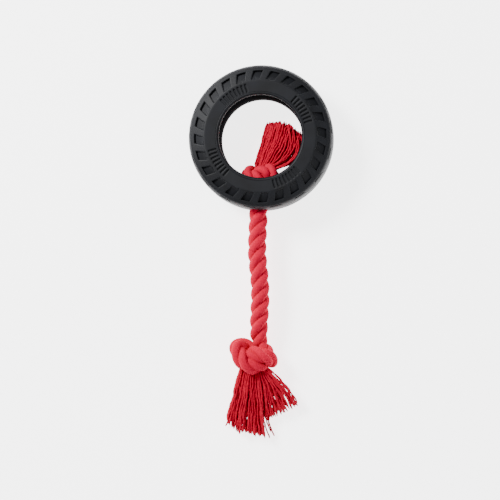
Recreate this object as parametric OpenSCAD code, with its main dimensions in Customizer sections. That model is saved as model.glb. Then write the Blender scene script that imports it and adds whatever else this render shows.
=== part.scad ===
// Dog tug toy: a hollow moulded tyre with a knotted three-strand rope through its tread.
// The toy lies flat. The tyre's axis is +Z, its back side wall is on z = 0, and the rope
// leaves it towards -Y. All sizes are in millimetres.

/* [Tyre] */
// Outer diameter over the tread
tyre_od = 90; // [75:1:110]
// Width over both side walls
tyre_w = 30; // [25:1:36]
// Diameter of the centre hole, between the lips
hole_d = 51.4; // [42:0.2:56]
// Thickness of each side wall
side_wall = 3.5; // [2.8:0.1:4.2]
// Thickness of the tread at its middle
tread_wall = 5; // [4:0.1:6]
// Radius between the flat middle of the tread and the shoulder
crown_r = 10; // [8:0.5:12]
// Radius of the rounded shoulder
shoulder_r = 2.6; // [2.2:0.1:3.1]
// Radius of the rounded lip round the centre hole
lip_r = 1.6; // [1.3:0.05:1.9]

/* [Shoulder pockets] */
// Number of pockets on each side
pocket_n = 24; // [18:1:28]
// Length of a pocket, measured outwards
pocket_len = 6.2; // [5:0.1:7.4]
// Width of a pocket
pocket_w = 5.6; // [4.4:0.1:6.4]
// Depth of a pocket at its outer end
pocket_depth = 1.8; // [1.4:0.1:2.2]
// Sideways lean of a pocket, in degrees
pocket_lean = 21.5; // [15:0.5:30]

/* [Side wall bars] */
// Number of slots in each group of bars
slot_n = 8; // [6:1:9]
// Angle from one slot to the next, in degrees
slot_pitch = 4.5; // [3.8:0.1:5.4]
// Length of a slot, measured outwards
slot_len = 5.4; // [4.6:0.1:6]
// Width of a slot
slot_w = 1.1; // [0.9:0.05:1.3]
// Depth of a slot
slot_depth = 0.8; // [0.6:0.05:1]

/* [Tread groove] */
// Width of the groove
groove_w = 1; // [0.8:0.05:1.2]
// Depth of the groove
groove_depth = 1.2; // [0.9:0.05:1.5]
// Distance of the groove below the side wall
groove_below = 5.6; // [5:0.1:6.4]

/* [Rope] */
// Diameter of the rope
rope_d = 12; // [10:0.2:14.4]
// Clearance all round the rope in its hole
rope_clear = 0.3; // [0.2:0.05:0.5]
// Distance from the tread to the point where the rope bends
bend_reach = 25; // [21:0.5:30]
// Clearance between pieces of the rope that turn on each other
bend_clear = 0.3; // [0.2:0.05:0.5]
// Gap between frayed bundles that lie side by side
fray_gap = 0.3; // [0.2:0.05:0.5]

/* [Knots] */
// Width of the inner knot, across the rope
inner_knot_w = 28; // [24:0.5:32]
// Length of the inner knot, along the rope
inner_knot_len = 25; // [21:0.5:27]
// Clearance of the inner knot from each side wall
inner_knot_clear = 0.8; // [0.5:0.1:1.2]
// Width of the outer knot, across the rope
outer_knot_w = 31; // [26:0.5:37]
// Length of the outer knot, along the rope
outer_knot_len = 24; // [20:0.5:29]
// Thickness of the outer knot, up from the ground
outer_knot_h = 23; // [20:0.5:27]

/* [Hidden] */
rubber = "#33363a";
cotton = "#df394b";
frayed = "#c31a2f";

mid_z = tyre_w / 2;
tread_r = tyre_od / 2;                 // outside of the tread
floor_r = tread_r - tread_wall;        // inside of the tread, where the inner knot bears
lip_in = hole_d / 2;                   // inner edge of the lips
rope_r = rope_d / 2;
bore_r = rope_r + rope_clear;          // hole for the rope, through the flat middle of the tread
bore_edge = 0.6;                       // flat left above and below that hole
crown_turn = 26;                       // angle that the crown turns through
crown_top = mid_z - 3.7;               // height of the crown's outer edge
crown = min(crown_r, (crown_top - bore_r - bore_edge) / sin(crown_turn));
crown_z = crown_top - crown * sin(crown_turn);
crown_x = tread_r - crown;
channel_r = min(4, mid_z - side_wall - bore_r - bore_edge);  // rounding inside the hollow
shoulder_x = crown_x + (crown - shoulder_r) * cos(crown_turn);
shoulder_z = crown_top - shoulder_r * sin(crown_turn);
flat_r = shoulder_x - 7;               // outer edge of the flat side wall
shoulder_fall = atan((mid_z - shoulder_z - shoulder_r * sin(78)) /
                     (shoulder_x + shoulder_r * cos(78) - flat_r));
lip_groove = 0.5;                      // groove between the lip and the side wall
pocket_phase = 5.4;                    // angle of the first pocket
bar_phase = 32.3;                      // angle of the first group of bars
over = 1;                              // how far a cut runs past a surface

bend_y = -tread_r - bend_reach;
knot_y = -floor_r + 0.5;               // outer end of the inner knot
knot_base = rope_r;                    // radius of a knot's flat ends

// The rope from its bend to the outer knot, each point from the bend's centre
route = [[0, 0, 0], [0.5, -5, 0], [1.2, -10, -0.1], [2, -15, -0.3], [2.6, -20, -0.6],
         [3, -25, -1], [3.2, -30, -1.4], [3.2, -35, -1.8], [3.1, -40, -2.2],
         [3, -45, -2.6], [3, -50, -2.8], [3, -54, -2.8]];
run_end = [0, bend_y, mid_z] + route[len(route) - 1];
outer_y = run_end.y - outer_knot_len;  // outer end of the outer knot
outer_x = -0.5;                        // middle of the outer knot
outer_z = outer_knot_h / 2 + 0.2;
inner_end_x = 2.5;                     // middle of the inner knot's frayed end
bundle_w = 5;                          // width of each frayed bundle at its knot
bundle_root = 0.15;                    // thickness of a bundle's flat root

function arc(x, y, r, a0, a1, n) =
    [for (i = [0:n]) let (a = a0 + (a1 - a0) * i / n) [x + r * cos(a), y + r * sin(a)]];

// One half of the tyre's section, from the flat tread round to the floor of the hollow
half_section = concat(
    arc(crown_x, crown_z, crown, 0, crown_turn, 3),
    arc(shoulder_x, shoulder_z, shoulder_r, crown_turn + 13, 78, 3),
    [[flat_r, mid_z], [lip_in + lip_r + 0.5, mid_z],
     [lip_in + lip_r + 0.15, mid_z - lip_groove]],
    arc(lip_in + lip_r, mid_z - 0.1 - lip_r, lip_r, 90, 250, 8),
    [[lip_in + lip_r + 0.6, mid_z - side_wall]],
    arc(floor_r - channel_r, mid_z - side_wall - channel_r, channel_r, 90, 0, 6)
);
mirrored = [for (i = [len(half_section) - 1:-1:0]) [half_section[i].x, -half_section[i].y]];

module on_both_sides() {
    for (m = [0, 1]) mirror([0, 0, m]) children();
}

module pocket() {
    // a leaning four-sided cut whose floor falls from the inner end to the outer end
    shift = pocket_len * tan(pocket_lean) / 2;
    translate([flat_r + 0.3, 0, mid_z - 0.1])
        rotate([0, shoulder_fall + atan(pocket_depth / pocket_len), 0])
            linear_extrude(pocket_depth * 2)
                polygon([[0, shift - pocket_w / 2], [pocket_len, -shift - pocket_w / 2],
                         [pocket_len, -shift + pocket_w / 2], [0, shift + pocket_w / 2]]);
}

module bar_group() {
    for (i = [0:slot_n - 1])
        rotate((i - (slot_n - 1) / 2) * slot_pitch)
            translate([lip_in + lip_r + 0.9, -slot_w / 2, mid_z - slot_depth])
                cube([slot_len, slot_w, slot_depth + over]);
}

module tread_groove() {
    // one groove round each side of the tread
    height = mid_z - groove_below;
    surface = crown_x + sqrt(pow(crown, 2) - pow(max(height - crown_z, 0), 2));
    rotate_extrude($fn = 180)
        translate([surface - groove_depth, height - groove_w / 2])
            square([groove_depth + over, groove_w]);
}

module tyre() {
    color(rubber) translate([0, 0, mid_z]) difference() {
        rotate_extrude($fn = 180) polygon(concat(half_section, mirrored));
        rotate([90, 0, 0]) cylinder(h = tread_r + over, r = bore_r, $fn = 48);
        on_both_sides() {
            for (i = [0:pocket_n - 1]) rotate(pocket_phase + i * 360 / pocket_n) pocket();
            for (i = [0:3]) rotate(bar_phase + i * 90) bar_group();
            tread_groove();
        }
    }
}

module rope_shank() {
    // the stretch from the inner knot, through the tread, to the bend
    color(cotton) translate([0, knot_y, mid_z])
        rotate([90, 0, 0])
            cylinder(h = knot_y - bend_y - rope_r - bend_clear, r = rope_r, $fn = 48);
}

module rope_bend() {
    // the round middle of the bend, which lifts on the shank
    color(cotton) translate([0, bend_y, mid_z]) sphere(r = rope_r, $fn = 48);
}

// A ring of points round a route point, square to the rope there
function ring(points, i, r, n) =
    let (a = points[max(i - 1, 0)], b = points[min(i + 1, len(points) - 1)],
         along = (b - a) / norm(b - a), side = cross([0, 0, 1], along),
         across = side / norm(side), up = cross(along, across))
    [for (k = [0:n - 1]) points[i] + r * (cos(360 * k / n) * across + sin(360 * k / n) * up)];

module tube(points, r, n) {
    rings = [for (i = [0:len(points) - 1]) ring(points, i, r, n)];
    sides = [for (i = [0:len(points) - 2], k = [0:n - 1])
        let (a = i * n + k, b = i * n + (k + 1) % n) [a, a + n, b + n, b]];
    ends = [[for (k = [0:n - 1]) k], [for (k = [n - 1:-1:0]) (len(points) - 1) * n + k]];
    polyhedron([for (r = rings) each r], concat(sides, ends));
}

module rope_run() {
    first = [0.6, -rope_r - bend_clear, 0];
    points = concat([first], [for (p = route) if (p.y < first.y - 2) p]);
    color(cotton) translate([0, bend_y, mid_z]) tube(points, rope_r, 12);
}

module end_disc(x, y, z, r) {
    translate([x, y, z]) rotate([90, 0, 0]) cylinder(h = 0.4, r = r, center = true, $fn = 32);
}

module ball(x, y, z, r) {
    translate([x, y, z]) sphere(r = r, $fn = 32);
}

module inner_knot() {
    half = mid_z - side_wall - inner_knot_clear;
    color(cotton) hull() {
        end_disc(0, knot_y + 0.2, mid_z, knot_base);
        end_disc(inner_end_x, knot_y + inner_knot_len - 0.2, mid_z, knot_base + 1);
        for (s = [-1, 1]) ball(1.5 + s * (inner_knot_w / 2 - 7), knot_y + 12, mid_z, 7);
        ball(1, knot_y + 12, mid_z + half - 8, 8);
        ball(1, knot_y + 12, mid_z - half + 8, 8);
    }
}

module outer_knot() {
    color(cotton) hull() {
        end_disc(run_end.x, run_end.y - 0.2, run_end.z, knot_base);
        end_disc(outer_x, outer_y + 0.2, outer_z, knot_base + 1);
        for (s = [-1, 1])
            ball(outer_x + s * (outer_knot_w / 2 - 8), outer_y + outer_knot_len / 2, outer_z, 8);
        ball(outer_x, outer_y + outer_knot_len / 2, outer_z + outer_knot_h / 2 - 8, 8);
        ball(outer_x, outer_y + outer_knot_len / 2, outer_z - outer_knot_h / 2 + 8, 8);
    }
}

// A bundle of frayed yarn: a flat slab at the knot that spreads to two rounded corners
module bundle(root, root_w, root_h, tips, tip_r) {
    color(frayed) hull() {
        translate(root) cube([root_w - fray_gap, bundle_root, root_h], center = true);
        for (t = tips) ball(t.x, t.y, t.z, tip_r);
    }
}

// The inner bundles lean to +X, and the outer ones fan out over the ground. Each root is a
// place across the knot's end, and each tip is measured from the middle of that end.
module inner_bundle(across, tips) {
    end = [inner_end_x, knot_y + inner_knot_len, mid_z];
    bundle(end + [across, bundle_root / 2 + fray_gap, 0], bundle_w, 10, [for (t = tips) end + t], 3.3);
}

module outer_bundle(across, tips) {
    end = [outer_x, outer_y, outer_z];
    bundle(end + [across, -bundle_root / 2 - fray_gap, 0], bundle_w, 11,
           [for (t = tips) [end.x + t.x, end.y + t.y, t.z]], 3.8);
}

module inner_fray_left() { inner_bundle(-bundle_w, [[3, 21, 0], [4.7, 21, 0]]); }
module inner_fray_middle() { inner_bundle(0, [[12.3, 18.5, 0], [13.1, 17.8, 0]]); }
module inner_fray_right() { inner_bundle(bundle_w, [[20.8, 12.6, 0], [22.3, 9.8, 0]]); }
module outer_fray_left() { outer_bundle(-bundle_w, [[-11, -28, 5], [-5, -33, 5]]); }
module outer_fray_middle() { outer_bundle(0, [[4, -36, 5], [9, -36, 5]]); }
module outer_fray_right() { outer_bundle(bundle_w, [[16, -27, 5], [26, -19, 5]]); }

tyre();
rope_shank();
inner_knot();
inner_fray_left();
inner_fray_middle();
inner_fray_right();
rope_bend();
rope_run();
outer_knot();
outer_fray_left();
outer_fray_middle();
outer_fray_right();
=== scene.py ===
import math
import random

import bmesh
import bpy
import numpy as np
from mathutils import Matrix, Vector


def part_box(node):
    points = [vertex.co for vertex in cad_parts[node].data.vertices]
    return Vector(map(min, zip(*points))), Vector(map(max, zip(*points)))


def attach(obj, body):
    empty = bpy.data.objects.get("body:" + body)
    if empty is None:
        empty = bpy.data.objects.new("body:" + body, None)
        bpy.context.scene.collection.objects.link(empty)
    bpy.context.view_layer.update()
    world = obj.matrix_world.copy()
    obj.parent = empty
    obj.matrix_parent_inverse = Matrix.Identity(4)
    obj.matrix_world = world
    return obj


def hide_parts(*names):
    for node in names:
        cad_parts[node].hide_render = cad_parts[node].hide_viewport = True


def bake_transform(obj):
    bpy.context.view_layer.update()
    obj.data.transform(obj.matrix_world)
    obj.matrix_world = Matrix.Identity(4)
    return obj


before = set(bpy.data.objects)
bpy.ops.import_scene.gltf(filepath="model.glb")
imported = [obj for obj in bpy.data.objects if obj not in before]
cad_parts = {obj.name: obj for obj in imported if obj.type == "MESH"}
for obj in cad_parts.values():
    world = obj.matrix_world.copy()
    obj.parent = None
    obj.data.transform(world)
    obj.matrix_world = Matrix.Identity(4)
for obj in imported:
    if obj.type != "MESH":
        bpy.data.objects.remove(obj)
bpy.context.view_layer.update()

print("frame loaded:", ", ".join(sorted(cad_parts)))

mm = 0.001  # one millimetre in Blender's metres


def hexToLinear(code):  # sRGB hex such as "#c02030" to the linear colour that a shader takes
    parts = [int(code[i:i + 2], 16) / 255 for i in (1, 3, 5)]
    return [c / 12.92 if c <= 0.04045 else ((c + 0.055) / 1.055) ** 2.4 for c in parts] + [1]


def noiseScale(size):  # the scale that makes a noise vary over this many mm on Object coordinates
    return 1 / (size * mm)


def addNode(tree, kind, values=None, links=None, **settings):
    # one node with its settings, its socket values and what feeds it
    node = tree.nodes.new(kind)
    for name, value in settings.items():
        setattr(node, name, value)
    for socket, value in (values or {}).items():
        node.inputs[socket].default_value = value
    for socket, source in (links or {}).items():
        tree.links.new(source, node.inputs[socket])
    return node


def newMaterial(name, values):  # a Principled surface; returns the material, its tree and its shader
    made = bpy.data.materials.new(name)
    made.use_nodes = True
    tree = made.node_tree
    shader = tree.nodes["Principled BSDF"]
    for socket, value in values.items():
        shader.inputs[socket].default_value = value
    return made, tree, shader


def mottled(tree, fac, dark, light, span):  # two colours, with the noise values in span shared between them
    ramp = addNode(tree, "ShaderNodeValToRGB", None, {"Fac": fac})
    for stop, colour, at in zip(ramp.color_ramp.elements, (dark, light), span):
        stop.position, stop.color = at, hexToLinear(colour)
    return ramp.outputs["Color"]


view = {
    "eye": (83.2, -128.7, 1240.8),  # mm: a little right of the toy and high above it
    "aim": (-4.34, -70.0, 15.0),  # mm: between the tyre and the outer knot
    "roll": 2.38,  # degrees, turns the camera so that the rope hangs straight down
    "lens": 142.1, "sensor": 36.0,  # mm
    "clip": (0.01, 20.0),  # m
}


def makeCamera():
    cam = bpy.data.objects.new("camera", bpy.data.cameras.new("camera"))
    bpy.context.scene.collection.objects.link(cam)
    eye, aim = Vector(view["eye"]) * mm, Vector(view["aim"]) * mm
    forward = (aim - eye).normalized()
    roll = math.radians(view["roll"])
    right = forward.cross(Vector((-math.sin(roll), math.cos(roll), 0))).normalized()
    up = right.cross(forward)
    cam.matrix_world = Matrix((
        (right.x, up.x, -forward.x, eye.x),
        (right.y, up.y, -forward.y, eye.y),
        (right.z, up.z, -forward.z, eye.z),
        (0, 0, 0, 1),
    ))
    cam.data.lens, cam.data.sensor_width = view["lens"], view["sensor"]
    cam.data.clip_start, cam.data.clip_end = view["clip"]
    bpy.context.scene.camera = cam


makeCamera()

studio = {
    "paper": "#fbfbfb", "paperRoughness": 0.9,
    "floorSize": 6.0, "floorAt": (0, -0.07, -0.0004),  # m: a hair under the lowest rubber
    "glow": 3.8,  # light of the floor's own, as a lit table has
    # lamps, in m and W
    "key": {"place": (-0.85, 0.55, 1.0), "size": 0.5, "power": 38.0},
    "fill": {"place": (0.9, -0.7, 1.0), "size": 1.0, "power": 6.0},
    "lampAim": (0, -0.06, 0),
    "sky": 0.4,  # strength of the white surroundings
}


def makeStudio():
    bpy.ops.mesh.primitive_plane_add(size=studio["floorSize"], location=studio["floorAt"])
    floor = bpy.context.object
    floor.name = "floor"
    # white matt paper, lit from below: no gloss, and only a faint shadow under the toy
    paper = newMaterial("whitePaper", {
        "Base Color": hexToLinear(studio["paper"]), "Roughness": studio["paperRoughness"],
        "Emission Color": hexToLinear(studio["paper"]), "Emission Strength": studio["glow"]})[0]
    floor.data.materials.append(paper)
    for name in ("key", "fill"):
        spec = studio[name]
        lamp = bpy.data.lights.new(name + "Light", "AREA")
        lamp.shape, lamp.size, lamp.energy = "DISK", spec["size"], spec["power"]
        held = bpy.data.objects.new(name + "Light", lamp)
        bpy.context.scene.collection.objects.link(held)
        held.location = spec["place"]
        towards = Vector(studio["lampAim"]) - held.location
        held.rotation_euler = towards.to_track_quat("-Z", "Y").to_euler()
    world = bpy.data.worlds.new("studioWhite")
    world.use_nodes = True
    world.node_tree.nodes["Background"].inputs["Color"].default_value = (1, 1, 1, 1)
    world.node_tree.nodes["Background"].inputs["Strength"].default_value = studio["sky"]
    bpy.context.scene.world = world


makeStudio()
print("camera, floor and lights made")

rope = {  # lengths in mm
    "thick": 12.0,  # diameter over the strands
    "strands": 3,
    "strand": 6.15,  # diameter of one strand
    "lay": 25.0,  # length of one full turn of a strand
    "knotLay": 28.0,  # the same in the knots
    "longer": 1.28,  # a strand is longer than the rope by its lay
    "phase": 0.6,  # radians, turns all the strands
    "yarns": 15,  # yarns that show round one strand
    "yarnSides": 4,  # points round each of them
    "yarnDepth": 0.22,  # depth of the furrow between two yarns
    "yarnLay": 24.0,  # length of one turn of the yarns in a strand
    "ring": 0.9,  # distance between the rings of a strand
    "flat": 0.12,  # how much flatter a strand is against the middle of the rope
    "flatFrom": 0.3,  # the share of its radius from which it is flatter
    "knotSqueeze": 0.86,  # the rope is thinner where a knot squeezes it
    "knotCore": 8.0,  # half the length of the knot's middle, which is fitted to its box
    "knotReach": 8.5,  # half the length of what is used of it
    "rounding": 10,  # times that the whole line is smoothed
    "knotFade": 60,  # times that the change from straight rope to knotted rope is smoothed
}

# the free rope's route from its bend, as the CAD source has it, up to the outer knot
bendCentre = np.array([0, -70.0, 15.0])
routeFromBend = np.array([
    [0, 0, 0], [0.5, -5, 0], [1.2, -10, -0.1], [2, -15, -0.3], [2.6, -20, -0.6], [3, -25, -1],
    [3.2, -30, -1.4], [3.2, -35, -1.8], [3.1, -40, -2.2], [3, -45, -2.6], [3, -50, -2.8],
])

# the rest of the rope's line, between and past the knots
beforeInnerKnot = np.array([[3.0, -15.0, 12.0], [3.2, -17.0, 11.5]])
throughTread = np.array([[0, y, 15.0] for y in (-41.5, -46, -52, -58, -64)])
intoOuterKnot = np.array([[3.0, -125.0, 9.5], [3.4, -128.0, 7.5]])
afterOuterKnot = np.array([[0.0, -145.5, 8.5], [0.6, -148.5, 9.0]])

tying = {  # how the overhand knot is pulled tight; lengths in mm
    "open": 9.0,  # size of the open knot
    "spread": 2.15,  # how much of the knot's curve is used, either way from its middle
    "flatness": 0.35,  # its height along the rope
    "curvePoints": 150,
    "tails": 78.0,  # where the held ends are, on either side
    "points": 170, "steps": 1800,
    "respaced": 10,  # steps after which the points are spaced evenly again
    "grip": 10.3,  # how near two stretches of rope lie in a tight knot
    "apart": 1.45,  # grips along the rope from which two stretches can press on each other
    "pull": 0.5, "push": 0.18,  # how far a point moves in a step, as a share of what draws it
    "most": 0.8,  # the furthest that a point moves in a step
}


def distances(points):  # how far along the line each point is
    return np.concatenate([[0], np.cumsum(np.linalg.norm(np.diff(points, axis=0), axis=1))])


def respaced(points, count):  # the same line in count even steps
    far = distances(points)
    at = np.linspace(0, far[-1], count)
    return np.stack([np.interp(at, far, points[:, k]) for k in range(3)], 1)


def evenly(points, gap):  # the same line with a point every gap
    return respaced(points, max(2, int(round(distances(points)[-1] / gap)) + 1))


def smoothed(points, times):  # rounds a line off, its ends kept
    points = points.copy()
    for _ in range(times):
        points[1:-1] = 0.5 * points[1:-1] + 0.25 * (points[:-2] + points[2:])
    return points


def tightKnot():
    # an open overhand knot on the Z axis, pulled tight: the line shortens while stretches that
    # come nearer than the grip push each other apart
    grip, count = tying["grip"], tying["points"]
    t = np.linspace(-tying["spread"], tying["spread"], tying["curvePoints"])
    knot = np.stack([t**3 - 3 * t, t**4 - 4 * t**2, tying["flatness"] * (t**5 - 10 * t)], 1) * tying["open"]
    knot = evenly(np.vstack([[[0, 0, -tying["tails"]]], knot, [[0, 0, tying["tails"]]]]), 1)
    knot = knot[np.linspace(0, len(knot) - 1, count).astype(int)]
    order = np.arange(count)
    for step in range(tying["steps"]):
        length = np.linalg.norm(np.diff(knot, axis=0), axis=1).sum()
        move = np.zeros_like(knot)
        move[1:-1] = tying["pull"] * (knot[2:] + knot[:-2] - 2 * knot[1:-1])
        away = knot[:, None] - knot[None]
        gap = np.linalg.norm(away, axis=2)
        along = np.abs(order[:, None] - order[None]) * length / (count - 1)
        pressed = (along > tying["apart"] * grip) & (gap < grip)
        press = np.where(pressed, (grip - gap) / np.maximum(gap, 1e-6), 0)
        move += tying["push"] * (away * press[..., None]).sum(1)
        move[[0, 1, -2, -1]] = 0
        size = np.linalg.norm(move, axis=1, keepdims=True)
        knot = knot + move * np.minimum(1, tying["most"] / np.maximum(size, 1e-9))
        if step % tying["respaced"] == 0:
            knot = respaced(knot, count)
    return knot


knotLine = tightKnot()
print("overhand knot pulled tight")

knots = {  # degrees that each knot is turned about the rope and tilted; its size comes from its CAD solid
    "inner": {"node": "inner_knot", "turn": 200, "tilt": -70},
    "outer": {"node": "outer_knot", "turn": 148, "tilt": -70},
}


def placedKnot(spec):  # the tight knot, fitted into its CAD box, running towards -Y
    low, high = (np.array(corner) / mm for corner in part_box(spec["node"]))
    thick = rope["thick"] * rope["knotSqueeze"]
    used = knotLine[np.abs(knotLine[:, 2]) < rope["knotReach"]]
    turn, tilt = math.radians(spec["turn"]), math.radians(spec["tilt"])
    placed = np.stack([math.cos(turn) * used[:, 0] - math.sin(turn) * used[:, 1], -used[:, 2],
                       math.sin(turn) * used[:, 0] + math.cos(turn) * used[:, 1]], 1)
    placed = np.stack([math.cos(tilt) * placed[:, 0] - math.sin(tilt) * placed[:, 1],
                       math.sin(tilt) * placed[:, 0] + math.cos(tilt) * placed[:, 1], placed[:, 2]], 1)
    core = placed[np.abs(used[:, 2]) < rope["knotCore"]]
    least, most = core.min(0), core.max(0)
    return (placed - (least + most) / 2) * (high - low - thick) / (most - least) + (low + high) / 2


def ropeLine():  # the whole rope from its inner fray to its outer fray, a point every millimetre
    made = np.vstack([beforeInnerKnot, placedKnot(knots["inner"]), throughTread, bendCentre + routeFromBend,
                      intoOuterKnot, placedKnot(knots["outer"]), afterOuterKnot])
    return evenly(smoothed(evenly(made, 1), rope["rounding"]), 1)


line = ropeLine()


def firstPast(y):  # the first point of the line past a place on the Y axis
    insideKnot = 40  # the inner knot's loops cross some places more than once and are left out
    return int(np.argmax((line[:, 1] < y) & (np.arange(len(line)) > insideKnot)))


marks = {
    "innerKnotEnd": firstPast(-39),
    "wall": firstPast(-42),  # where the rope goes into the tread
    "bend": int(np.argmin(np.linalg.norm(line - bendCentre, axis=1))),
    "outerKnotStart": firstPast(-122),
}
inKnot = np.zeros(len(line))  # 0 on straight rope, 1 in a knot
inKnot[:marks["innerKnotEnd"]] = 1
inKnot[marks["outerKnotStart"]:] = 1
inKnot = smoothed(inKnot, rope["knotFade"])


def unit(vectors):  # each made one long
    return vectors / np.linalg.norm(vectors, axis=1, keepdims=True)


def crossings(points):  # two directions across a line, carried along it without turning
    along = unit(np.gradient(points, axis=0))
    side = np.zeros_like(points)
    side[0] = np.cross(along[0], [0, 0, 1])
    side[0] /= np.linalg.norm(side[0])
    for i in range(1, len(points)):
        carried = side[i - 1] - np.dot(side[i - 1], along[i]) * along[i]
        side[i] = carried / np.linalg.norm(carried)
    return side, np.cross(along, side)


def strandCentres(index):  # one strand's own line round the rope, and how squeezed it is
    side, up = crossings(line)
    lay = rope["lay"] + (rope["knotLay"] - rope["lay"]) * inKnot
    turn = np.cumsum(2 * math.pi / lay) + index * 2 * math.pi / rope["strands"] + rope["phase"]
    squeeze = 1 + (rope["knotSqueeze"] - 1) * inKnot
    out = (rope["thick"] - rope["strand"]) / 2 * squeeze
    return line + out[:, None] * (np.cos(turn)[:, None] * side + np.sin(turn)[:, None] * up), squeeze


def strandRings(index, first, last):  # rings of one strand between two points of the rope's line
    centres, squeeze = strandCentres(index)
    fine = np.arange(first, last + 1e-9, rope["ring"])
    fine[-1] = last

    def pick(values):
        return np.interp(fine, np.arange(len(line)), values)

    def pickPoints(values):
        return np.stack([pick(values[:, k]) for k in range(3)], 1)

    points = pickPoints(centres)
    along = unit(pickPoints(np.gradient(centres, axis=0)))
    outward = points - pickPoints(line)
    outward = unit(outward - (outward * along).sum(1, keepdims=True) * along)
    up = np.cross(along, outward)
    thin = pick(squeeze)
    count = rope["yarns"] * rope["yarnSides"]
    angle = np.arange(count) * 2 * math.pi / count
    inwards = np.cos(angle) < -rope["flatFrom"]
    flat = np.where(inwards, 1 + rope["flat"] * (np.cos(angle) + rope["flatFrom"]), 1)
    furrow = rope["yarnDepth"] / 3  # as a share of a strand's radius, about 3 mm
    rings = []
    for i in range(len(fine)):
        yarn = rope["yarns"] * (angle + 2 * math.pi * fine[i] * rope["longer"] / rope["yarnLay"])
        wave = 1 - furrow * (1 - np.abs(np.cos(yarn / 2)))  # rounded yarns with sharp furrows between
        radius = rope["strand"] / 2 * wave * thin[i]
        rings.append(points[i] + (radius * flat * np.cos(angle))[:, None] * outward[i]
                     + (radius * np.sin(angle))[:, None] * up[i])
    return np.array(rings)


def tubeMesh(name, tubes):
    # one mesh from lists of rings in mm, each tube closed at both ends, with a UV round it (0 to 1)
    # and along it (mm)
    verts, faces, spots = [], [], []
    for rings in tubes:
        rows, count = rings.shape[:2]
        base = len(verts)
        verts.extend(map(tuple, rings.reshape(-1, 3) * mm))
        far = distances(rings.mean(1))
        for i in range(rows - 1):
            for k in range(count):
                a, b = base + i * count + k, base + i * count + (k + 1) % count
                faces.append((a, b, b + count, a + count))
                spots.extend([(k / count, far[i]), ((k + 1) / count, far[i]),
                              ((k + 1) / count, far[i + 1]), (k / count, far[i + 1])])
        faces.append(tuple(base + k for k in range(count - 1, -1, -1)))
        spots.extend([(k / count, far[0]) for k in range(count - 1, -1, -1)])
        faces.append(tuple(base + (rows - 1) * count + k for k in range(count)))
        spots.extend([(k / count, far[-1]) for k in range(count)])
    mesh = bpy.data.meshes.new(name)
    mesh.from_pydata(verts, [], faces)
    mesh.uv_layers.new(name="along").data.foreach_set("uv", np.array(spots, np.float32).ravel())
    mesh.update()
    made = bpy.data.objects.new(name, mesh)
    bpy.context.scene.collection.objects.link(made)
    mesh.shade_smooth()
    return made


cottonLook = {
    "rope": {"light": "#d50c3a", "dark": "#b2042a"},
    "cutYarn": {"light": "#cf0a32", "dark": "#940320"},  # darker, as light is lost between cut yarns
    "roughness": 0.92, "specular": 0.1,
    "sheen": 0.04, "sheenRoughness": 0.45, "sheenTint": "#ffb0b4",
    "uneven": 1.25,  # mm: patches where the dye took more or less, about a yarn wide
    "unevenSpan": (0.3, 0.72),
    "fuzz": 1.1111,  # mm: a loose fibre is about 0.02 mm thick, too fine to show, so drawn as tufts
    "fuzzHeight": 0.25,  # mm
    "fuzzStrength": 0.5,
}


def cottonMaterial(name, colours):
    # dyed combed cotton, spun into yarns and laid up as rope: it scatters light without gloss, has a
    # faint pale bloom of loose fibres at its edges, and is a little uneven in colour
    made, tree, shader = newMaterial(name, {
        "Roughness": cottonLook["roughness"], "Specular IOR Level": cottonLook["specular"],
        "Sheen Weight": cottonLook["sheen"], "Sheen Roughness": cottonLook["sheenRoughness"],
        "Sheen Tint": hexToLinear(cottonLook["sheenTint"])})
    place = addNode(tree, "ShaderNodeTexCoord").outputs["Object"]
    fuzz = addNode(tree, "ShaderNodeTexNoise", {
        "Scale": noiseScale(cottonLook["fuzz"]), "Detail": 4.0, "Roughness": 0.6}, {"Vector": place})
    uneven = addNode(tree, "ShaderNodeTexNoise", {
        "Scale": noiseScale(cottonLook["uneven"]), "Detail": 5.0, "Roughness": 0.7}, {"Vector": place})
    tree.links.new(mottled(tree, uneven.outputs["Fac"], colours["dark"], colours["light"],
                           cottonLook["unevenSpan"]), shader.inputs["Base Color"])
    bump = addNode(tree, "ShaderNodeBump", {
        "Strength": cottonLook["fuzzStrength"], "Distance": cottonLook["fuzzHeight"] * mm},
        {"Height": fuzz.outputs["Fac"]})
    tree.links.new(bump.outputs["Normal"], shader.inputs["Normal"])
    return made


combedCotton = cottonMaterial("combedCotton", cottonLook["rope"])
cutCottonYarn = cottonMaterial("cutCottonYarn", cottonLook["cutYarn"])


def ropePiece(name, first, last):  # all the strands between two points of the rope's line
    made = tubeMesh(name, [strandRings(k, first, last) for k in range(rope["strands"])])
    made.data.materials.append(combedCotton)
    return made


innerRope = ropePiece("inner_rope", 0, marks["wall"])
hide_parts("inner_knot")
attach(innerRope, "rope_inner")
neckRope = ropePiece("rope_neck", marks["wall"], marks["bend"])
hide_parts("rope_shank", "rope_bend")
outerRope = ropePiece("outer_rope", marks["bend"], len(line) - 1)
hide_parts("rope_run", "outer_knot")
print("rope laid:", len(line), "mm of it")

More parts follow.
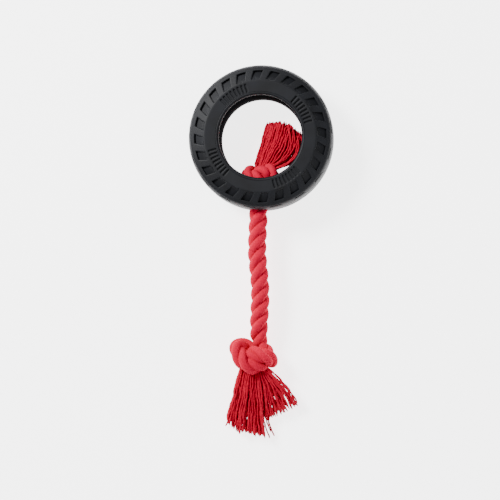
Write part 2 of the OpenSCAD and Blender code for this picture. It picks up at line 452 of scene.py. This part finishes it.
fray = {  # lengths in mm
    "yarn": 1.0,  # diameter of one cut yarn
    "thickness": (0.85, 1.15),  # least and most, as a share of that
    "sides": 7,
    "ringTurn": 0.5,  # radians from one ring to the next
    "lumps": 0.12, "lumpTurn": 2.1,  # how uneven a yarn is, and radians of that from ring to ring
    "tip": 0.55,  # thickness of its last ring
    "ring": 1.3, "fewestRings": 12,
    "each": 74,  # yarns in a bundle
    "wave": 0.42,  # how far a yarn strays from its own line
    "waves": ((19, 1.0), (8, 0.5), (3.8, 0.22)),  # length of each wave and its share
    "waveUp": 0.6,  # the share of it that is up and down
    "waveStart": 6.28, "waveStrength": (0.4, 1.0),  # radians, at most, and least and most strength
    "lowest": 0.7,  # a yarn's line lies at least this high
    "shuffle": 0.45,  # how far a yarn leaves its place in the row
    "rootDepth": 1.5,  # how unevenly the yarns start
    "cut": (-3.2, 0.8),  # how unevenly they are cut
    "bowShare": (0.15, 1.15),  # how much of the bundle's bow a yarn takes
    # single threads: where they start from the root, the heights of their tips, and their bow
    "looseRoot": (0.3, -6.0), "looseDrop": (-3.0, 0.0),
    "looseHeight": (1.2, 3.0), "looseBow": (-1.5, -1.0, 1.0),
}
sides = ("left", "middle", "right")
frays = {  # the middle of the root, then for each bundle the two ends of its row of tips, in mm
    "inner": {
        "seed": 7, "body": "rope_inner",
        "root": (3.0, -18.0, 14.0), "spread": (6.5, 5.0), "height": (11.5, 19.0),
        "left": [(3.0, 9.6), (10.0, 10.6)],
        "middle": [(9.5, 10.6), (18.0, 9.4)],
        "right": [(17.0, 9.0), (26.0, 3.0)],
        "bow": {"left": (0, -1), "middle": (3, -2), "right": (12, -8)}, "bowUp": 0.45,
        "loose": {},
    },
    "outer": {
        "seed": 17, "body": "rope_outer",
        "root": (0.3, -143.0, 9.5), "spread": (7.5, 4.5), "height": (1.0, 8.5),
        "left": [(-15.4, -178.0), (-6.5, -184.5)],
        "middle": [(-8.0, -184.0), (9.2, -186.0)],
        "right": [(5.5, -178.0), (29.5, -165.0)],
        "bow": {"left": (0, 0), "middle": (0, 0), "right": (2.5, 2.5)}, "bowUp": 1.5,
        "loose": {"middle": [(11.5, -187.0), (14.5, -185.5), (12.0, -183.0)], "left": [(-16.0, -180.5)]},
    },
}


def yarnRings(dice, root, tip, bow):  # one wavy cut yarn from inside the knot to its tip
    length = np.linalg.norm(tip - root)
    t = np.linspace(0, 1, max(fray["fewestRings"], int(length / fray["ring"])))[:, None]
    middle = (root + tip) / 2 + bow
    points = (1 - t)**2 * root + 2 * t * (1 - t) * middle + t**2 * tip
    along = (tip - root) / length
    side = np.cross(along, [0, 0, 1])
    side /= np.linalg.norm(side)
    up = np.cross(side, along)
    for direction, size in ((side, 1.0), (up, fray["waveUp"])):
        for period, share in fray["waves"]:
            start, strength = dice.uniform(0, fray["waveStart"]), dice.uniform(*fray["waveStrength"])
            points = points + fray["wave"] * size * share * strength * np.minimum(1, 3 * t) * np.sin(
                2 * math.pi * t * length / period + start) * direction
    points[:, 2] = np.maximum(points[:, 2], fray["lowest"])
    ahead = unit(np.gradient(points, axis=0))
    across = unit(np.cross(ahead, [0.05, 0.1, 1]))  # nearly level, and never along a yarn
    above = np.cross(across, ahead)
    thick = fray["yarn"] / 2 * dice.uniform(*fray["thickness"])
    rings = []
    for i in range(len(points)):
        k = np.arange(fray["sides"]) * 2 * math.pi / fray["sides"] + i * fray["ringTurn"]
        r = thick * (1 + fray["lumps"] * math.sin(i * fray["lumpTurn"]))
        if i == len(points) - 1:
            r *= fray["tip"]
        rings.append(points[i] + r * np.cos(k)[:, None] * across[i] + r * np.sin(k)[:, None] * above[i])
    return np.array(rings)


def frayBundle(end, which):  # one strand opened out into its yarns
    spec, place = frays[end], sides.index(which)
    dice = random.Random(spec["seed"] + place)
    root, (first, last) = np.array(spec["root"]), spec[which]
    low, high = spec["height"]
    tubes = []
    for i in range(fray["each"]):
        u = (i + dice.uniform(-fray["shuffle"], fray["shuffle"])) / (fray["each"] - 1)
        u = min(1, max(0, u))
        across = ((place + u) / len(sides) * 2 - 1) * spec["spread"][0]
        layer = dice.random()  # 0 at the bottom of the bundle, 1 at its top
        start = root + [across, dice.uniform(-fray["rootDepth"], fray["rootDepth"]),
                        (layer * 2 - 1) * spec["spread"][1]]
        tip = np.array([first[0] + (last[0] - first[0]) * u, first[1] + (last[1] - first[1]) * u,
                        low + (high - low) * layer])
        tip = tip + (tip - start) / np.linalg.norm(tip - start) * dice.uniform(*fray["cut"]) * [1, 1, 0]
        bow = np.array([*spec["bow"][which], spec["bowUp"]]) * dice.uniform(*fray["bowShare"])
        tubes.append(yarnRings(dice, start, tip, bow))
    for x, y in spec["loose"].get(which, []):
        start = root + [fray["looseRoot"][0] * x, fray["looseRoot"][1], dice.uniform(*fray["looseDrop"])]
        tip = np.array([x, y, dice.uniform(*fray["looseHeight"])])
        tubes.append(yarnRings(dice, start, tip, np.array(fray["looseBow"])))
    made = tubeMesh(end + "_yarns_" + which, tubes)
    made.data.materials.append(cutCottonYarn)
    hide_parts(f"{end}_fray_{which}")
    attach(made, spec["body"])
    return made


yarnPieces = {end: [frayBundle(end, which) for which in sides] for end in frays}
print("frayed ends made")

tyre = {  # lengths in mm
    "half": 15.0,  # half the width of the tyre
    "columns": 408,  # faces round the tyre
    "turn": -0.5,  # degrees: turns the whole pattern
    "treadEdge": 42.0,  # what is further out than this is tread
    "shoulder": (42.19, 12.7), "rim": (34.65, 15.0),  # radius and height of the slope's two ends
    "slopeOver": 12.0, "flatOver": 14.9,  # heights above which a face is on the slope, or on the flat
    "lean": 3.6,  # degrees that a pocket's inner end is turned past its outer end
    "pocketOuter": 41.3, "pocketInner": 35.1,  # radii of a pocket's ends
    "pocketPitch": 17, "pocketFirst": 17, "pocketColumns": 10,  # in columns
    "pocketPress": ((0.16, 0.08), (0.28, 0.3)),  # width and depth of each inset
    "pocketDeep": 1.9, "pocketShallow": 0.35,  # depth at its outer and inner end
    "slotOuter": 33.6, "slotInner": 28.1,  # radii of the ends of a slot between two bars
    "slotGroup": 102, "slots": 8, "slotPitch": 5, "slotFirst": 16, "slotColumns": 3,  # in columns
    "slotPress": ((0.1, 0.06), (0.12, 0.74)),
    "flatRows": (0, 2.5, 5.4),  # rings on the flat middle of the tread, from its middle
    "edgeRows": (1.9, 1.2, 0.6),  # rings near the shoulder's edge, from the edge
    "grooveNear": 11.0, "grooveFar": 7.5,  # heights of its two runs above the middle of the tread
    "groovePlain": 9.0,  # where its rings lie before they are moved
    "grooveWidth": 0.9, "groovePress": ((0.08, 0.05), (0.05, 1.15)),
    "groovePitch": 24, "grooveFirst": 6,  # in columns
    "grooveSteps": (10, 13, 22),  # columns where the near run ends, the far run starts and the far run ends
    "hole": 6.3,  # radius of the rope's hole
    "holeSides": 96, "drillAt": -44.0, "drillLength": 20.0,
    "smoothUnder": 38,  # degrees: sharper edges than this stay sharp
}
columnAngle = 360 / tyre["columns"]


def arcPoints(x, y, r, first, last, count):  # points on an arc about x, y between two angles in degrees
    return [(x + r * math.cos(math.radians(first + (last - first) * i / count)),
             y + r * math.sin(math.radians(first + (last - first) * i / count))) for i in range(count + 1)]


# half the tread's section, as radius and height: its flat middle, the crown's arc and the shoulder's arc
treadLine = np.array([(45, 0), (45, 6.92)] + arcPoints(35, 6.92, 10, 2, 26, 12)
                     + arcPoints(41.65, 10.16, 2.6, 30, 78, 12))
treadFar = distances(treadLine)


def onTread(far):  # a point of the tread's section, far mm from its middle
    return np.interp(far, treadFar, treadLine[:, 0]), np.interp(far, treadFar, treadLine[:, 1])


def farAt(height):  # how far along the section a height is
    return float(np.interp(height, treadLine[:, 1], treadFar))


def treadRows(groove):  # where the tread's rings lie when the groove is this far from the middle
    low, high = groove - tyre["grooveWidth"] / 2, groove + tyre["grooveWidth"] / 2
    flat, end = tyre["flatRows"][-1], treadFar[-1]
    top = end - tyre["edgeRows"][0]
    return [*tyre["flatRows"], flat + (low - flat) / 3, flat + (low - flat) * 2 / 3, low, high,
            high + (top - high) / 3, high + (top - high) * 2 / 3,
            *(end - away for away in tyre["edgeRows"]), end]


movingRows = range(3, 9)  # those of treadRows that the groove moves


def tyreSection():  # half the section as rings, from the middle of the tread to the middle of the hollow
    rows = [onTread(far) for far in treadRows(tyre["groovePlain"])]
    (outR, outH), (inR, inH) = tyre["shoulder"], tyre["rim"]
    rows += [(r, outH + (outR - r) / (outR - inR) * (inH - outH))
             for r in (41.75, 41.3, 40.3, 39.25, 38.2, 37.15, 36.1, 35.1)]  # the slope with the pockets
    rows += [(34.75, 14.96), (34.4, 15), (33.6, 15), (31.8, 15), (30, 15), (28.1, 15),
             (27.85, 15), (27.62, 14.8)]  # the flat with the bars
    rows += arcPoints(27.3, 13.3, 1.6, 84, 250, 13)  # the bead round the middle opening
    rows += [(27.9, 11.5)] + arcPoints(36, 7.5, 4, 90, 0, 7) + [(40, 3.7), (40, 0)]  # the hollow
    return rows


def leanAt(r):  # degrees that the pattern is turned at a radius
    share = (tyre["pocketOuter"] - r) / (tyre["pocketOuter"] - tyre["pocketInner"])
    return tyre["lean"] * min(1, max(0, share))


def columnOf(r, angle):  # which column of faces an angle falls in, from 0 up
    return int(math.floor(((angle - tyre["turn"] - leanAt(r)) % 360) / columnAngle)) % tyre["columns"]


def placeOf(point):  # distance from the axis in mm, angle in degrees, height over the tread's middle in mm
    return (math.hypot(point.x, point.y) / mm, math.degrees(math.atan2(point.y, point.x)),
            point.z / mm - tyre["half"])


def selectFaces(mesh, wanted):  # selects the faces that wanted() picks, and nothing else
    edit = bmesh.from_edit_mesh(mesh)
    edit.select_mode = {"FACE"}
    for face in edit.faces:
        face.select_set(False)
    for point in edit.verts:
        point.select_set(False)
    for face in edit.faces:
        if wanted(face):
            face.select_set(True)
    edit.select_flush_mode()
    bmesh.update_edit_mesh(mesh)


def pressIn(steps):  # insets the selected faces by a width and a depth, step by step
    for width, depth in steps:
        bpy.ops.mesh.inset(thickness=width * mm, depth=-depth * mm)


def grooveAt(angle):  # how far from the tread's middle the groove runs at an angle
    near, far = farAt(tyre["grooveNear"]), farAt(tyre["grooveFar"])
    column = round(((angle - tyre["turn"]) % 360) / columnAngle)
    at = (column - tyre["grooveFirst"]) % tyre["groovePitch"]
    nearEnds, farStarts, farEnds = tyre["grooveSteps"]
    if at <= nearEnds:
        share = 0
    elif at < farStarts:
        share = (at - nearEnds) / (farStarts - nearEnds)
    elif at <= farEnds:
        share = 1
    else:
        share = 0.5
    return near + (far - near) * share


def stepTread(mesh):  # the tread's rings follow the stepped groove, which is then pressed in
    edit = bmesh.from_edit_mesh(mesh)
    spots = [onTread(far) for far in treadRows(tyre["groovePlain"])]
    for point in edit.verts:
        r, angle, h = placeOf(point.co)
        if r < tyre["treadEdge"]:
            continue
        row = min(range(len(spots)), key=lambda i: abs(spots[i][0] - r) + abs(spots[i][1] - abs(h)))
        if row in movingRows:
            newR, newH = onTread(treadRows(grooveAt(angle))[row])
            point.co.x *= newR / r
            point.co.y *= newR / r
            point.co.z = (tyre["half"] + math.copysign(newH, h)) * mm
    bmesh.update_edit_mesh(mesh)
    slack = 0.05  # mm, for rounding

    def inGroove(face):
        for point in face.verts:
            r, angle, h = placeOf(point.co)
            off = abs(farAt(abs(h)) - grooveAt(angle))
            if r < tyre["treadEdge"] or off >= tyre["grooveWidth"] / 2 + slack:
                return False
        return len(face.verts) == 4

    selectFaces(mesh, inGroove)
    pressIn(tyre["groovePress"])


def cutPockets(mesh):  # pressed in on one side at a time, each deeper towards the tread
    length = tyre["pocketOuter"] - tyre["pocketInner"]
    for side in (1, -1):
        def inPocket(face):
            r, angle, h = placeOf(face.calc_center_median())
            column = (columnOf(r, angle) - tyre["pocketFirst"]) % tyre["pocketPitch"]
            return (side * h > tyre["slopeOver"] and tyre["pocketInner"] < r < tyre["pocketOuter"]
                    and column < tyre["pocketColumns"])

        selectFaces(mesh, inPocket)
        pressIn(tyre["pocketPress"])
        pressed = tyre["pocketPress"][-1][1]
        for point in [v for v in bmesh.from_edit_mesh(mesh).verts if v.select]:
            r = placeOf(point.co)[0]
            share = min(1, max(0, (r - tyre["pocketInner"]) / length))
            depth = tyre["pocketShallow"] + (tyre["pocketDeep"] - tyre["pocketShallow"]) * share
            point.co.z -= side * (depth - pressed) * mm
        bmesh.update_edit_mesh(mesh)


def cutSlots(mesh):  # four groups a side, whose slots leave the bars standing between them
    def inSlot(face):
        r, angle, h = placeOf(face.calc_center_median())
        at = (columnOf(r, angle) - tyre["slotFirst"]) % tyre["slotGroup"]
        return (abs(h) > tyre["flatOver"] and tyre["slotInner"] < r < tyre["slotOuter"]
                and at < tyre["slots"] * tyre["slotPitch"] and at % tyre["slotPitch"] < tyre["slotColumns"])

    selectFaces(mesh, inSlot)
    pressIn(tyre["slotPress"])


def drillHole(made):
    bpy.ops.object.select_all(action="DESELECT")
    bpy.ops.mesh.primitive_cylinder_add(
        vertices=tyre["holeSides"], radius=tyre["hole"] * mm, depth=tyre["drillLength"] * mm,
        location=(0, tyre["drillAt"] * mm, tyre["half"] * mm), rotation=(math.pi / 2, 0, 0))
    drill = bpy.context.object
    bpy.ops.object.select_all(action="DESELECT")
    made.select_set(True)
    bpy.context.view_layer.objects.active = made
    cut = made.modifiers.new("ropeHole", "BOOLEAN")
    cut.operation, cut.solver, cut.object = "DIFFERENCE", "EXACT", drill
    bpy.ops.object.modifier_apply(modifier=cut.name)
    bpy.data.objects.remove(drill)


def turnSelected(degrees):  # with no window the operator turns the other way, hence the minus
    bpy.ops.transform.rotate(value=-math.radians(degrees), orient_axis="Z", center_override=(0, 0, 0))


def makeTyre():  # one ring, extruded and resized from row to row round its whole section
    bpy.ops.object.select_all(action="DESELECT")
    rows = tyreSection()
    rows = rows + [(r, -h) for r, h in rows[-2::-1]]
    bpy.ops.mesh.primitive_circle_add(vertices=tyre["columns"], radius=rows[0][0] * mm, location=(0, 0, 0))
    made = bpy.context.object
    made.name = made.data.name = "tyre_rubber"
    bpy.ops.object.mode_set(mode="EDIT")
    bpy.ops.mesh.select_all(action="SELECT")
    bpy.ops.transform.translate(value=(0, 0, tyre["half"] * mm))
    turnSelected(tyre["turn"])
    for (r0, h0), (r1, h1) in zip(rows, rows[1:]):
        bpy.ops.mesh.extrude_region_move(TRANSFORM_OT_translate={"value": (0, 0, (h1 - h0) * mm)})
        if abs(r1 - r0) > 1e-6:
            bpy.ops.transform.resize(value=(r1 / r0, r1 / r0, 1), center_override=(0, 0, 0))
        if abs(leanAt(r1) - leanAt(r0)) > 1e-9:
            turnSelected(leanAt(r1) - leanAt(r0))
    bpy.ops.mesh.select_all(action="SELECT")
    bpy.ops.mesh.remove_doubles(threshold=0.01 * mm)
    bpy.ops.mesh.normals_make_consistent(inside=False)
    stepTread(made.data)
    cutPockets(made.data)
    cutSlots(made.data)
    bpy.ops.object.mode_set(mode="OBJECT")
    drillHole(made)
    bpy.ops.object.shade_smooth_by_angle(angle=math.radians(tyre["smoothUnder"]))
    return made


rubberLook = {
    "clean": "#0a0b0f", "dusty": "#12141a", "dustSpan": (0.35, 0.75),
    "smooth": 0.5, "worn": 0.64,  # least and most roughness
    "specular": 0.36, "ior": 1.4,
    "dust": 11.111,  # mm: patches of handling wear, about a fingertip wide
    "grain": 0.625,  # mm: the mould's own grain is about 0.1 mm, so it is drawn coarser to show
    "grainHeight": 0.08,  # mm
    "grainStrength": 0.25,
}


def rubberMaterial():
    # carbon-black natural rubber, pressed in a mould: nearly black, with a broad soft shine that the
    # mould's grain breaks up, and duller where it was handled
    made, tree, shader = newMaterial("mouldedRubber", {
        "Specular IOR Level": rubberLook["specular"], "IOR": rubberLook["ior"]})
    place = addNode(tree, "ShaderNodeTexCoord").outputs["Object"]
    dust = addNode(tree, "ShaderNodeTexNoise", {
        "Scale": noiseScale(rubberLook["dust"]), "Detail": 5.0, "Roughness": 0.6}, {"Vector": place})
    tree.links.new(mottled(tree, dust.outputs["Fac"], rubberLook["clean"], rubberLook["dusty"],
                           rubberLook["dustSpan"]), shader.inputs["Base Color"])
    worn = addNode(tree, "ShaderNodeMapRange", {
        "To Min": rubberLook["smooth"], "To Max": rubberLook["worn"]}, {"Value": dust.outputs["Fac"]})
    tree.links.new(worn.outputs["Result"], shader.inputs["Roughness"])
    grain = addNode(tree, "ShaderNodeTexNoise", {"Scale": noiseScale(rubberLook["grain"]), "Detail": 3.0},
                    {"Vector": place})
    bump = addNode(tree, "ShaderNodeBump", {
        "Strength": rubberLook["grainStrength"], "Distance": rubberLook["grainHeight"] * mm},
        {"Height": grain.outputs["Fac"]})
    tree.links.new(bump.outputs["Normal"], shader.inputs["Normal"])
    return made


tyreBody = makeTyre()
tyreBody.data.materials.append(rubberMaterial())
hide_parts("tyre")
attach(tyreBody, "tyre")
print("tyre made:", len(tyreBody.data.polygons), "faces")

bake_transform(neckRope)
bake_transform(outerRope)
